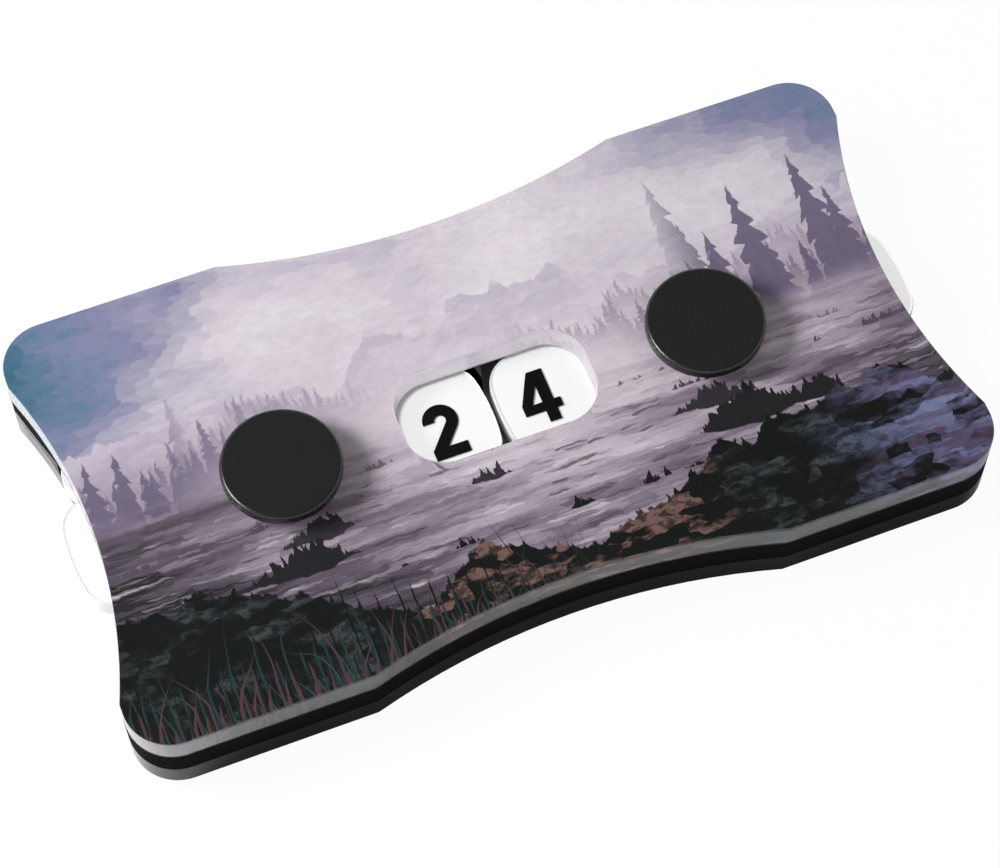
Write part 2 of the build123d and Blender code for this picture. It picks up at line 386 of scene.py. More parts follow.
def wavy_line(tree, x, base, swing, waves_per_mm, seed, detail=3.0):
    """The height of an uneven line, such as a ridge or a shore, at every x."""
    node = add(tree, "TexNoise", noise_dimensions="1D")
    fill(tree, node, W=linear(tree, x, waves_per_mm, seed), Scale=1.0, Detail=detail)
    return linear(tree, node.outputs["Fac"], 2 * swing, base - swing)


def below(tree, y, line, softness=0.08):
    """One below the line and zero above it."""
    return step_up(tree, minus(tree, line, y), -softness, softness)


def in_cells(tree, x, pitch, seed, play):
    """Cuts the X axis into cells. Gives the place in a cell, with some play, and a chance value."""
    cells = linear(tree, x, 1 / pitch, seed)
    chance = add(tree, "TexWhiteNoise", noise_dimensions="1D")
    fill(tree, chance, W=calc(tree, "FLOOR", cells))
    split = add(tree, "SeparateColor")
    feed(tree, split.inputs[0], chance.outputs["Color"])
    inside = linear(tree, calc(tree, "FRACT", cells), pitch, -pitch / 2)
    shift = linear(tree, split.outputs[1], play * pitch, -play * pitch / 2)
    return plus(tree, inside, shift), split.outputs[0]


print("brushes ready")

# %% [markdown]
# Three things grow in the picture. A conifer is a triangle whose sides are notched by the fraction
# of a rising value, which gives a saw of boughs. An islet is the part of a wavy line that lies
# above water, with a smaller mirror image as its foot. A blade of reed is a thin triangle whose
# foot slides sideways with height, which makes it lean and curl.
# %% Conifers, islets and reeds
TREE_PLAY = 0.4
TREE_BOUGHS = 7
BOUGH_SPREAD = 0.14
TRUNK_SPREAD = 0.1
TREE_TIP = 0.05
TREE_EDGE = (-0.04, 0.1)
ISLET_BASE_SHARE = -0.35
ISLET_SWING_SHARE = 4.5
ISLET_FOOT_SHARE = -0.3
ISLET_EDGE = (0.0, 0.12)
TUFT_SWING = 1.6
TUFT_WAVES = 1.6
TUFT_FADE = (0.0, 0.4)
BLADE_PLAY = 0.5
BLADE_EDGE = (-0.02, 0.06)
LONG_BLADE_RARITY = 2.5
LEAN_SWING = 0.6
LEAN_WAVES = 0.12


def conifers(tree, x, y, ground, pitch, low, high, seed):
    """A row of conifers, one to a cell, with ragged boughs that widen downwards."""
    inside, chance = in_cells(tree, x, pitch, seed, TREE_PLAY)
    height = linear(tree, chance, high - low, low)
    from_tip = minus(tree, plus(tree, height, ground), y)
    boughs = calc(tree, "FRACT", times(tree, from_tip, TREE_BOUGHS / high))
    spread = linear(tree, boughs, BOUGH_SPREAD, TRUNK_SPREAD)
    half_width = linear(tree, from_tip, spread, TREE_TIP)
    clear = minus(tree, half_width, calc(tree, "ABSOLUTE", inside))
    under_tip = step_up(tree, from_tip, 0.0, 0.1)
    return times(tree, step_up(tree, clear, *TREE_EDGE), under_tip)


def islets(tree, x, y, level, thickness, waves_per_mm, seed):
    """A broken row of flat islets, each lens-shaped, with a ragged upper side."""
    base, swing = ISLET_BASE_SHARE * thickness, ISLET_SWING_SHARE * thickness
    body = wavy_line(tree, x, base, swing, waves_per_mm, seed, detail=4)
    tufts = wavy_line(tree, x, 0.0, TUFT_SWING, TUFT_WAVES, seed + 5, detail=5)
    tufts = times(tree, tufts, step_up(tree, body, *TUFT_FADE))
    over = minus(tree, y, level)
    from_top = minus(tree, plus(tree, body, tufts), over)
    from_foot = minus(tree, over, times(tree, body, ISLET_FOOT_SHARE))
    under_top = step_up(tree, from_top, *ISLET_EDGE)
    return times(tree, under_top, step_up(tree, from_foot, *ISLET_EDGE))


def reeds(tree, x, y, root, slant, curl, pitch, low, high, width, seed):
    """A row of blades that leave the ground together, lean in tufts, curl over and end in a point."""
    up_blade = calc(tree, "MAXIMUM", minus(tree, y, root), 0.0)
    lean = wavy_line(tree, x, slant, LEAN_SWING, LEAN_WAVES, seed, detail=1)
    lean = linear(tree, up_blade, curl, lean)
    swerve = times(tree, lean, up_blade)
    inside, chance = in_cells(tree, plus(tree, x, swerve), pitch, seed, BLADE_PLAY)
    height = linear(tree, calc(tree, "POWER", chance, LONG_BLADE_RARITY), high - low, low)
    along = minus(tree, 1.0, calc(tree, "DIVIDE", up_blade, height))
    half_width = times(tree, along, width)
    clear = minus(tree, half_width, calc(tree, "ABSOLUTE", inside))
    return step_up(tree, clear, *BLADE_EDGE)


print("conifers, islets and reeds ready")

# %% [markdown]
# The sky comes first and the near bank last, so that each layer covers what lies behind it. Mist
# between the layers gives the depth: every row of trees fades into a paler band at its foot.
# %% Sky, ridges and trees
PALE_MIDDLE = 5.0
SKY_HEIGHT_BLUE = 0.019
SKY_CORNER_BLUE = 0.45
SKY_CORNER_POWER = 3.5
CLOUD_RANGE = (0.85, -0.55)
WASH_RANGE = (0.3, -0.15)
MIST_MIDDLE = 4.0
MIST_WIDTH = (40.0, 4.0)
MIST_HEIGHT = (11.0, 2.0)
TREES_PART_AT = -4.0


def sky(tree, x, y, cloud, wash):
    """Pale in the middle, lilac and blue further out, and blue-green in the far corners."""
    across = times(tree, away_from(tree, x, PALE_MIDDLE), MM / HALF_LENGTH)
    corner = times(tree, calc(tree, "POWER", across, SKY_CORNER_POWER), SKY_CORNER_BLUE)
    depth = linear(tree, y, SKY_HEIGHT_BLUE, corner)
    depth = plus(tree, depth, linear(tree, cloud, *CLOUD_RANGE))
    depth = plus(tree, depth, linear(tree, wash, *WASH_RANGE))
    return ramp(
        tree, depth,
        (0.0, srgb(224, 216, 222)), (0.22, srgb(208, 199, 209)), (0.42, srgb(172, 167, 185)),
        (0.6, srgb(132, 133, 164)), (0.76, srgb(98, 122, 152)), (0.95, srgb(58, 104, 124)),
    )


def ridges(tree, x, y, colour, wash):
    """Two ridges in the mist and three stands of conifers, from the farthest to the nearest."""
    far = wavy_line(tree, x, base=10.5, swing=13.0, waves_per_mm=0.05, seed=4.3, detail=6)
    slope = mix(tree, step_up(tree, wash, 0.4, 0.6), srgb(188, 178, 194), srgb(206, 196, 209))
    colour = mix(tree, times(tree, below(tree, y, far, 0.12), 0.85), colour, slope)
    middle = step_up(tree, away_from(tree, x, MIST_MIDDLE), *MIST_WIDTH)
    mist = mix(tree, middle, srgb(158, 147, 162), srgb(220, 209, 217))
    colour = mix(tree, step_up(tree, y, *MIST_HEIGHT), colour, mist)
    away = away_from(tree, x, TREES_PART_AT)
    for line, swing, pitch, low, high, seed, nearest, farthest, ink in (
        (5.4, 6.0, 1.1, 0.8, 2.8, 17.0, 4.0, 14.0, srgb(160, 149, 168)),
        (2.8, 5.0, 1.9, 1.5, 6.0, 29.0, 14.0, 24.0, srgb(132, 121, 143)),
        (0.4, 5.0, 3.6, 5.0, 17.5, 8.0, 23.0, 31.0, srgb(106, 97, 122)),
    ):
        ground = wavy_line(tree, x, line, swing, 0.07, seed, detail=3)
        stand = conifers(tree, x, y, ground, pitch, low, high, seed + 1)
        second = conifers(tree, x, y, ground, 0.71 * pitch, low, 0.7 * high, seed + 2)
        stand = calc(tree, "MAXIMUM", calc(tree, "MAXIMUM", stand, second), below(tree, y, ground))
        shown = times(tree, stand, step_up(tree, away, nearest, farthest))
        clear_of_mist = step_up(tree, minus(tree, y, ground), -2.5, 2.5)
        shown = times(tree, shown, linear(tree, clear_of_mist, 0.8, 0.15))
        colour = mix(tree, shown, colour, ink)
    return colour


print("far half of the print ready")

# %% [markdown]
# The middle of the picture is water with islets. The streaks on it are noise pulled out ten times
# along X. It darkens towards the sides and towards the reader, as a lake does under a pale sky.
# %% Water and islets
WATER_SIDE_SHADE = 0.012
WATER_NEAR_SHADE = -0.032
LEFT_SHADE = 0.14
LEFT_SHADE_RANGE = (-20.0, -38.0)
SWELL_RANGE = (1.1, -0.6)
SHORE = (2.5, -1.5)
RIPPLE_RANGE = (1.5, -7.0)


def water(tree, x, y, colour, streaks, swell):
    """Streaks of light on mist-coloured water, darker at the sides and towards the bank."""
    across = times(tree, away_from(tree, x, PALE_MIDDLE), WATER_SIDE_SHADE)
    depth = linear(tree, y, WATER_NEAR_SHADE, across)
    left = times(tree, step_up(tree, x, *LEFT_SHADE_RANGE), LEFT_SHADE)
    depth = plus(tree, depth, left)
    depth = plus(tree, depth, linear(tree, swell, *SWELL_RANGE))
    tone = ramp(
        tree, depth,
        (0.0, srgb(212, 202, 210)), (0.24, srgb(184, 171, 184)), (0.44, srgb(140, 127, 142)),
        (0.62, srgb(94, 84, 97)), (0.85, srgb(42, 40, 44)),
    )
    colour = mix(tree, step_up(tree, y, *SHORE), colour, tone)
    for low, high, strength, ink in (
        (0.53, 0.59, 0.4, srgb(112, 98, 114)), (0.62, 0.66, 0.65, srgb(62, 55, 64)),
        (0.45, 0.4, 0.3, srgb(190, 178, 188)), (0.36, 0.32, 0.5, srgb(214, 205, 212)),
    ):
        ripple = times(tree, step_up(tree, streaks, low, high), step_up(tree, y, *RIPPLE_RANGE))
        colour = mix(tree, times(tree, ripple, strength), colour, ink)
    return colour


def shallows(tree, x, y, colour):
    """Rows of islets that darken and thicken towards the reader."""
    for level, thickness, waves, seed, ink in (
        (-2.4, 0.4, 0.11, 3.0, srgb(118, 106, 122)),
        (-4.8, 0.7, 0.09, 61.0, srgb(84, 75, 88)),
        (-7.4, 1.1, 0.07, 26.0, srgb(52, 48, 55)),
        (-10.2, 1.5, 0.06, 71.0, srgb(34, 33, 37)),
        (-13.2, 2.1, 0.05, 47.0, srgb(24, 26, 26)),
    ):
        colour = mix(tree, islets(tree, x, y, level, thickness, waves, seed), colour, ink)
    return colour


print("water and islets ready")

# %% [markdown]
# The bank lies nearest and is nearly black. Its edge rises towards both corners. The blades in the
# near left corner stand in seven rows that slant in different ways, so that they cross like real
# ones. They are read from coordinates that aren't shaken, which keeps them crisp.
# %% Bank
BANK_RISES = ((-14.0, -42.0, 7.0), (2.0, 26.0, 5.0))
CLAY_FADE = (13.0, 19.0)
VIOLET_FADE = (26.0, 40.0)
REED_BED = (8.0, -12.0)
SPECKLE = 0.8
SPECKLE_IN_VIOLET = -0.55


def bank(tree, x, y, steady_x, steady_y, colour, wash, swell, grain):
    """A nearly black bank with clay in the middle, violet shadows at the right, and reeds."""
    edge = wavy_line(tree, x, base=-16.4, swing=9.0, waves_per_mm=0.05, seed=31.0, detail=6)
    for start, end, rise in BANK_RISES:
        edge = plus(tree, edge, times(tree, step_up(tree, x, start, end), rise))
    tufts = wavy_line(tree, x, base=0.0, swing=1.5, waves_per_mm=1.3, seed=53.0, detail=5)
    edge = plus(tree, edge, calc(tree, "MAXIMUM", tufts, 0.0))
    clay = mix(tree, step_up(tree, wash, 0.5, 0.56), srgb(20, 23, 22), srgb(118, 92, 86))
    sedge = mix(tree, step_up(tree, wash, 0.5, 0.66), srgb(19, 23, 22), srgb(62, 68, 70))
    soil = mix(tree, step_up(tree, calc(tree, "ABSOLUTE", x), *CLAY_FADE), clay, sedge)
    violet = times(tree, step_up(tree, x, *VIOLET_FADE), step_up(tree, wash, 0.36, 0.56))
    twilight = mix(tree, step_up(tree, swell, 0.46, 0.6), srgb(92, 78, 108), srgb(122, 128, 166))
    soil = mix(tree, violet, soil, twilight)
    speckle = linear(tree, violet, SPECKLE_IN_VIOLET, SPECKLE)
    speckle = times(tree, step_up(tree, grain, 0.42, 0.6), speckle)
    soil = mix(tree, speckle, soil, srgb(15, 17, 17))
    colour = mix(tree, below(tree, y, edge, 0.1), colour, soil)
    reed_bed = step_up(tree, x, *REED_BED)
    for root, slant, curl, pitch, low, high, width, seed, ink in (
        (-16.0, 0.05, 0.01, 1.7, 1.0, 8.0, 0.11, 5.0, srgb(13, 18, 18)),
        (-18.5, -0.1, -0.03, 1.3, 1.0, 8.5, 0.13, 41.0, srgb(34, 56, 56)),
        (-20.0, 0.1, 0.05, 1.6, 1.0, 9.0, 0.16, 77.0, srgb(74, 54, 58)),
        (-20.5, -0.05, -0.02, 0.9, 1.0, 6.5, 0.13, 63.0, srgb(22, 32, 32)),
        (-22.0, -0.15, -0.05, 1.5, 1.0, 9.0, 0.17, 15.0, srgb(86, 56, 60)),
        (-22.5, 0.2, 0.04, 1.3, 1.0, 8.0, 0.13, 93.0, srgb(46, 66, 72)),
        (-23.5, 0.05, 0.04, 0.8, 1.0, 5.0, 0.14, 33.0, srgb(58, 44, 50)),
    ):
        blades = reeds(tree, steady_x, steady_y, root, slant, curl, pitch, low, high, width, seed)
        colour = mix(tree, times(tree, blades, reed_bed), colour, ink)
    return colour


print("bank ready")

# %% [markdown]
# A brush never follows a formula exactly, and it lays paint in dabs. So the coordinates are shaken
# a little with noise before they are used, and the broad tones are looked up at the middle of the
# nearest cell of a fine Voronoi pattern, which breaks a smooth blend into flat touches of paint.
# %% The printed picture
SHAKE_SCALE = 0.8
SHAKE_REACH = (0.7, 0.45, 0)
SHAKE_MIDDLE = (0.35, 0.22)
DAB_SOFTNESS = 0.25
STROKE_RANGE = (0.28, 0.8)
DOT_SCALE = 12.0
INK_ROUGHNESS = (0.2, 0.45)


def stretched(tree, where, across):
    """The same coordinates squeezed, so that a pattern read from them is drawn out."""
    squeezed = add(tree, "VectorMath", operation="MULTIPLY")
    feed_row(tree, squeezed.inputs, (where, (across, 1, 1)))
    return squeezed.outputs[0]


def dab(tree, where, size, stretch):
    """Coordinates that stay nearly the same within each dab of paint."""
    cells = add(tree, "TexVoronoi", voronoi_dimensions="2D", feature="F1")
    fill(tree, cells, Vector=stretched(tree, where, 1 / stretch), Scale=1 / size)
    middle = stretched(tree, cells.outputs["Position"], stretch)
    blend = add(tree, "Mix", data_type="VECTOR")
    feed_row(tree, [blend.inputs[place] for place in (0, 4, 5)], (DAB_SOFTNESS, middle, where))
    return blend.outputs[1]


def shaken_by_hand(tree, where):
    """The coordinates, moved a little by noise."""
    shake = add(tree, "TexNoise", noise_dimensions="2D")
    fill(tree, shake, Vector=where, Scale=SHAKE_SCALE, Detail=3.0)
    shaken = add(tree, "VectorMath", operation="MULTIPLY_ADD")
    feed_row(tree, shaken.inputs, (shake.outputs["Color"], SHAKE_REACH, where))
    return shaken.outputs[0]


def landscape(tree):
    """The colour of the print at every point."""
    where = object_mm(tree)
    shaken = shaken_by_hand(tree, where)
    x, y = split_xyz(tree, shaken)[:2]
    x = minus(tree, x, SHAKE_MIDDLE[0])
    y = minus(tree, y, SHAKE_MIDDLE[1])
    touches = dab(tree, shaken, size=0.85, stretch=2.2)
    swept = dab(tree, shaken, size=0.45, stretch=9.0)
    ripples = dab(tree, shaken, size=0.22, stretch=8.0)
    cloud = noise(tree, stretched(tree, touches, 0.6), 0.075, 4, 0.5, "2D")
    wash = noise(tree, stretched(tree, touches, 0.4), 0.4, 5, 0.65, "2D")
    swell = noise(tree, stretched(tree, swept, 0.12), 0.42, 5, 0.6, "2D")
    grain = noise(tree, stretched(tree, shaken, 0.5), 1.5, 4, 0.65, "2D")
    streaks = noise(tree, stretched(tree, ripples, 0.09), 1.2, 5, 0.66, "2D")
    dab_x, dab_y = split_xyz(tree, touches)[:2]
    steady_x, steady_y = split_xyz(tree, where)[:2]
    colour = sky(tree, dab_x, dab_y, cloud, wash)
    colour = ridges(tree, x, y, colour, wash)
    colour = water(tree, x, y, colour, streaks, swell)
    colour = shallows(tree, x, y, colour)
    colour = bank(tree, x, y, steady_x, steady_y, colour, wash, swell, grain)
    strokes = add(tree, "VectorMath", operation="SCALE")
    fill(tree, strokes, Vector=colour, Scale=linear(tree, grain, *STROKE_RANGE))
    return strokes.outputs[0]


def dress(name, material):
    """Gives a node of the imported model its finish."""
    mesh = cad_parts[name].data
    mesh.materials.clear()
    mesh.materials.append(material)


PRINT_INK, print_tree = new_material("print_ink")
print_dots = noise(print_tree, object_mm(print_tree), DOT_SCALE, detail=2)
ink_roughness = linear(print_tree, print_dots, *INK_ROUGHNESS)
picture = scorched(print_tree, landscape(print_tree))
show(print_tree, principled(print_tree, picture, ink_roughness, Specular_IOR_Level=0.05))
dress("print_layer", PRINT_INK)
print("print:", len(print_tree.nodes), "nodes")

# %% [markdown]
# The dials are cut from white acrylic and printed in black. White plastic takes its looks from its
# shading, so it gets a slight unevenness and a soft gloss. The ink is a little duller. The posts
# are coated black, with a fine grain that breaks up their highlight.
# %% White dials, black numerals, backing and small parts
CLOUD_SCALE = 0.15
CLOUD_TINT = 0.2
CLOUD_DARKNESS = 0.86
GRAIN_ROUGHNESS = 0.16
GRAIN_STRENGTH = 0.4
FINE_GRAIN = 0.004 * MM
NYLON_GRAIN = 0.006 * MM
COARSE_GRAIN = 0.01 * MM
SIDES = {"left": "tens", "right": "units"}


def plain_finish(name, colour, roughness, grain_scale, grain_depth, burnt_edge=False, **others):
    """A one-coloured material with fine grain in its roughness and its surface."""
    material, tree = new_material(name)
    grain = noise(tree, object_mm(tree), grain_scale, detail=3)
    cloud = noise(tree, object_mm(tree), CLOUD_SCALE, detail=2)
    cloudy = times(tree, cloud, CLOUD_TINT)
    tint = mix(tree, cloudy, colour, scaled(colour, CLOUD_DARKNESS))
    if burnt_edge:
        tint = scorched(tree, tint)
    shine = linear(tree, grain, GRAIN_ROUGHNESS, roughness - GRAIN_ROUGHNESS / 2)
    normal = bump(tree, grain, GRAIN_STRENGTH, grain_depth)
    show(tree, principled(tree, tint, shine, Normal=normal, **others))
    return material


WHITE_ACRYLIC = plain_finish(
    "white_acrylic", srgb(246, 246, 247), 0.34, 1.2, FINE_GRAIN, IOR=ACRYLIC_IOR
)
BLACK_INK = plain_finish("black_ink", srgb(11, 11, 12), 0.5, 6.0, FINE_GRAIN, Specular_IOR_Level=0.1)
WHITE_INK = plain_finish("white_ink", srgb(236, 236, 236), 0.6, 6.0, FINE_GRAIN, burnt_edge=True)
COATED_BLACK = plain_finish(
    "black_post", srgb(30, 30, 31), 0.27, 9.0, COARSE_GRAIN, Specular_IOR_Level=0.55
)
NYLON = plain_finish("natural_nylon", srgb(226, 222, 206), 0.5, 4.0, NYLON_GRAIN)
RUBBER = plain_finish("black_rubber", srgb(30, 30, 30), 0.75, 7.0, COARSE_GRAIN)
dress("print_backing", WHITE_INK)
for side, tens_or_units in SIDES.items():
    dress(tens_or_units + "_numerals", BLACK_INK)
    dress(side + "_bushing", NYLON)
    dress(side + "_glide_washer", NYLON)
    dress(side + "_friction_ring", RUBBER)
print("small parts dressed")

# %% [markdown]
# Clear acrylic bends and reflects light like thick glass, with an index of 1.49. A renderer that
# gathers light through such a sheet leaves what lies under it dark, so the rays that gather light
# for another surface pass straight through. Only the rounded rim of the window is rough, as a cut
# leaves it, so that no lamp glints there.
# %% Polished face of the clear sheet
CLEAR_TINT = srgb(251, 251, 252)
WHITE = (1, 1, 1, 1)
RIM_SLOPE = (0.999, 0.95)
RIM_ROUGHNESS = 0.6


def any_ray(tree, *kinds):
    """One for a ray of any of these kinds."""
    rays = add(tree, "LightPath")
    share = rays.outputs[kinds[0]]
    for kind in kinds[1:]:
        share = calc(tree, "MAXIMUM", share, rays.outputs[kind])
    return share


def either(tree, share, first, second):
    """Shows the second shader by its share."""
    node = add(tree, "MixShader")
    feed_row(tree, node.inputs, (share, first, second))
    return node.outputs[0]


def let_light_through(tree, surface, passing_colour=WHITE):
    """Shows the surface to every ray but the ones that gather light, which pass straight through."""
    gathering = any_ray(tree, "Is Shadow Ray", "Is Diffuse Ray")
    passing = add(tree, "BsdfTransparent")
    fill(tree, passing, Color=passing_colour)
    show(tree, either(tree, gathering, surface, passing.outputs[0]))


CLEAR_FACE, face_tree = new_material("clear_acrylic")
window_rim = step_up(face_tree, upward(face_tree), *RIM_SLOPE)
window_rim = times(face_tree, in_window(face_tree), window_rim)
face_roughness = times(face_tree, window_rim, RIM_ROUGHNESS)
clear = {"Transmission_Weight": 1.0, "IOR": ACRYLIC_IOR}
let_light_through(face_tree, principled(face_tree, CLEAR_TINT, face_roughness, **clear))
print("polished face ready")

# %% [markdown]
# The upright edges are laser cut, so they are a second material. Seen from inside they are clear,
# and seen from outside they are slightly frosted, most of all at the window and at the worn left
# end. Little light leaves a real sheet by an upright edge, so a ray that enters there loses a share
# of it, which lays a soft shade beside the edge.
# %% Cut edge of the clear sheet
BLACK = (0, 0, 0, 1)
CUT_LINE_SCALE = 3.0
CUT_LINE_STRETCH = 0.05
CUT_ROUGHNESS = (0.08, 0.12)
INNER_TINT = (0.8, 0.8, 0.8, 1)
EDGE_CLEARNESS = 0.98
WINDOW_FROST = 0.24
WORN_FROST = 0.42
FROST_POWER = 3.0
EDGE_SHADE = 0.2

CLEAR_EDGE, edge_tree = new_material("cut_clear_edge")
cut_place = object_mm(edge_tree, stretch=(1, 1, CUT_LINE_STRETCH))
cut_lines = noise(edge_tree, cut_place, CUT_LINE_SCALE, detail=2)
edge_tint = mix(edge_tree, cut_lines, srgb(238, 236, 240), srgb(246, 245, 247))
edge_roughness = linear(edge_tree, cut_lines, *CUT_ROUGHNESS)
clearness = linear(edge_tree, in_window(edge_tree), -WINDOW_FROST, EDGE_CLEARNESS)
clearness = linear(edge_tree, wear(edge_tree, FROST_POWER), -WORN_FROST, clearness)
frosted = {"Transmission_Weight": clearness, "IOR": ACRYLIC_IOR}
from_outside = principled(edge_tree, edge_tint, edge_roughness, **frosted)
from_inside = principled(edge_tree, INNER_TINT, 0.0, **clear)
inside = add(edge_tree, "NewGeometry").outputs["Backfacing"]
two_sided = either(edge_tree, inside, from_outside, from_inside)
edge_shade = linear(edge_tree, inside, -EDGE_SHADE, EDGE_SHADE)
let_light_through(edge_tree, two_sided, mix(edge_tree, edge_shade, WHITE, BLACK))
print("cut edge ready")

# %% [markdown]
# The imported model's own meshes are loose triangles with flat shading, which is fine for flat sides
# but shows facets on a curved cut edge. So the black sheets and the screws are copied, merged and
# shaded smooth, with creases only where two sides really meet.
# %% Helpers for pieces
CREASE = radians(25)
LEVEL = 0.9999
WELD = 0.001 * MM


def mesh_object(form, name, *materials):
    """Turns a bmesh into an object of the scene."""
    mesh = bpy.data.meshes.new(name)
    form.to_mesh(mesh)
    form.free()
    for material in materials:
        mesh.materials.append(material)
    made = bpy.data.objects.new(name, mesh)
    bpy.context.scene.collection.objects.link(made)
    return made


def add_piece(form, name, node, body, *materials):
    """Makes an object of a bmesh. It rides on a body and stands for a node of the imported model."""
    for edge in form.edges:
        if len(edge.link_faces) == 2:
            flat = [abs(face.normal.z) > LEVEL for face in edge.link_faces]
            edge.smooth = edge.calc_face_angle() < CREASE and flat[0] == flat[1]
    for face in form.faces:
        face.smooth = True
    piece = mesh_object(form, name, *materials)
    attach(piece, body)
    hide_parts(node)
    print(name, len(piece.data.polygons), "faces")


def smooth_copy(name, node, body, material):
    """A merged copy of a node's mesh."""
    form = bmesh.new()
    form.from_mesh(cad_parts[node].data)
    bmesh.ops.remove_doubles(form, verts=form.verts, dist=WELD / 2)
    form.normal_update()
    add_piece(form, name, node, body, material)


smooth_copy("middle_sheet_rear", "rear_spacer", "case", BLACK_ACRYLIC)
smooth_copy("middle_sheet_front", "front_spacer", "case", BLACK_ACRYLIC)
smooth_copy("bottom_sheet", "back_plate", "case", DARK_ACRYLIC)
for side in SIDES:
    smooth_copy(side + "_screw", side + "_post_screw", "case", COATED_BLACK)

# %% [markdown]
# A flat sheet with rounded edges can be built as half a sheet. Its outline is drawn first, filled,
# and inset twice. Pushing the outer rings down rounds the edge, the outer ring is drawn down to the
# middle of the thickness, and a mirror makes the other half. The outline itself comes from sweeping
# single points along arcs with the spin operator.
# %% Helpers for sheets
RING_SHARE = 0.3
WALL_RING_SHARE = 1.6
FOOT_SHARE = 0.1


def point(form, x, y):
    """A loose point in the plane of the drawing."""
    return form.verts.new((x * MM, y * MM, 0))


def arc_on(form, start, x, y, angle, steps):
    """Sweeps an arc round (x, y) from a point, and gives the point at its end."""
    swept = bmesh.ops.spin(
        form, geom=[start], cent=(x * MM, y * MM, 0), axis=(0, 0, 1), angle=angle, steps=steps,
        use_merge=False, use_duplicate=False,
    )
    return [item for item in swept["geom_last"] if isinstance(item, bmesh.types.BMVert)][0]


def line_on(form, start, x, y):
    """Draws a straight line on from a point, and gives the point at its end."""
    end = bmesh.ops.extrude_vert_indiv(form, verts=[start])["verts"][0]
    end.co = (x * MM, y * MM, 0)
    return end


def mirrored(form, geometry, axis):
    """Doubles a shape across an axis and joins the halves."""
    bmesh.ops.mirror(form, geom=geometry, axis=axis, merge_dist=WELD)
    bmesh.ops.remove_doubles(form, verts=form.verts, dist=WELD)


def inset(form, faces, width):
    """Insets a region and gives the corners of the new faces."""
    made = bmesh.ops.inset_region(
        form, faces=faces, thickness=width, use_boundary=True, use_even_offset=True
    )
    return {corner for face in made["faces"] for corner in face.verts}


def thicken(form, low, high, edge_round, sharp_foot=False):
    """Makes closed outlines a sheet with rounded edges. A sharp foot rounds only the upper ones."""
    half = (high - low) / 2
    bmesh.ops.triangle_fill(form, use_beauty=True, use_dissolve=False, edges=form.edges[:])
    cap = form.faces[:]
    first_ring = inset(form, cap, RING_SHARE * edge_round)
    inset(form, cap, (1 - RING_SHARE) * edge_round)
    border = [edge for edge in form.edges if edge.is_boundary]
    outer = {corner for edge in border for corner in edge.verts}
    for corner in form.verts:
        corner.co.z = half
    for corner in first_ring - outer:
        corner.co.z = half - RING_SHARE * edge_round
    for corner in outer:
        corner.co.z = half - edge_round
    for height in (half - WALL_RING_SHARE * edge_round, 0):
        wall = bmesh.ops.extrude_edge_only(form, edges=border)["geom"]
        border = [item for item in wall if isinstance(item, bmesh.types.BMEdge) and item.is_boundary]
        for corner in {end for edge in border for end in edge.verts}:
            corner.co.z = height
    mirrored(form, form.verts[:] + form.edges[:] + form.faces[:], "Z")
    if sharp_foot:
        for corner in form.verts:
            corner.co.z = -half if corner.co.z < -FOOT_SHARE * half else corner.co.z
        bmesh.ops.remove_doubles(form, verts=form.verts, dist=WELD)
    bmesh.ops.recalc_face_normals(form, faces=form.faces)
    bmesh.ops.translate(form, verts=form.verts, vec=(0, 0, (low + high) / 2))


print("sheet helpers ready")

# %% [markdown]
# The clear sheet is a rounded rectangle with a shallow scoop in each side, a window with rounded
# corners and two post holes. A quarter of it is enough, because the sheet is the same four times.
# The lowest ring of the rounded edge and the walls are cut edge, and the rest is polished. The foot
# of the sheet stays sharp and dips a hair into the ink, so that no film of air shows between them.
# %% Clear sheet
CORNER = 4.7
LONG_SCOOP = 2.95
LONG_CHORD = 41.8
END_SCOOP = 3.08
END_CHORD = 35.4
WINDOW = (19.7, 10.4, 4.0)
POST_HOLE = 2.6
SHEET_ROUND = 0.16
PRINT_CONTACT = 0.02
SET_BACK = 0.01
EDGE_SLOPE = 0.8
OUTLINE_STEPS = 24
WINDOW_STEPS = 16
HOLE_STEPS = 48
AXIS_X = {side: sum(corner.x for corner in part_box(side + "_bushing")) / 2 for side in SIDES}
half_length, half_width = HALF_LENGTH / MM - SET_BACK, HALF_WIDTH / MM - SET_BACK


def scoop_radius(chord, depth):
    """The radius of an arc from its chord and its depth."""
    return ((chord / 2) ** 2 + depth**2) / (2 * depth)


def quarter_outline(form):
    """From the middle of the rear side, round the corner, to the middle of the right end."""
    radius = scoop_radius(LONG_CHORD, LONG_SCOOP)
    sweep = asin(LONG_CHORD / 2 / radius)
    corner = point(form, 0, half_width - LONG_SCOOP)
    corner = arc_on(form, corner, 0, half_width - LONG_SCOOP + radius, sweep, OUTLINE_STEPS)
    corner = line_on(form, corner, half_length - CORNER, half_width)
    corner = arc_on(form, corner, half_length - CORNER, half_width - CORNER, -pi / 2, OUTLINE_STEPS)
    corner = line_on(form, corner, half_length, END_CHORD / 2)
    radius = scoop_radius(END_CHORD, END_SCOOP)
    sweep = asin(END_CHORD / 2 / radius)
    arc_on(form, corner, half_length - END_SCOOP + radius, 0, sweep, OUTLINE_STEPS)


def quarter_window(form):
    """A quarter of the window's outline."""
    across, deep, radius = (size + 2 * SET_BACK for size in WINDOW)
    corner = line_on(form, point(form, 0, deep / 2), across / 2 - radius, deep / 2)
    corner = arc_on(form, corner, across / 2 - radius, deep / 2 - radius, -pi / 2, WINDOW_STEPS)
    line_on(form, corner, across / 2, 0)


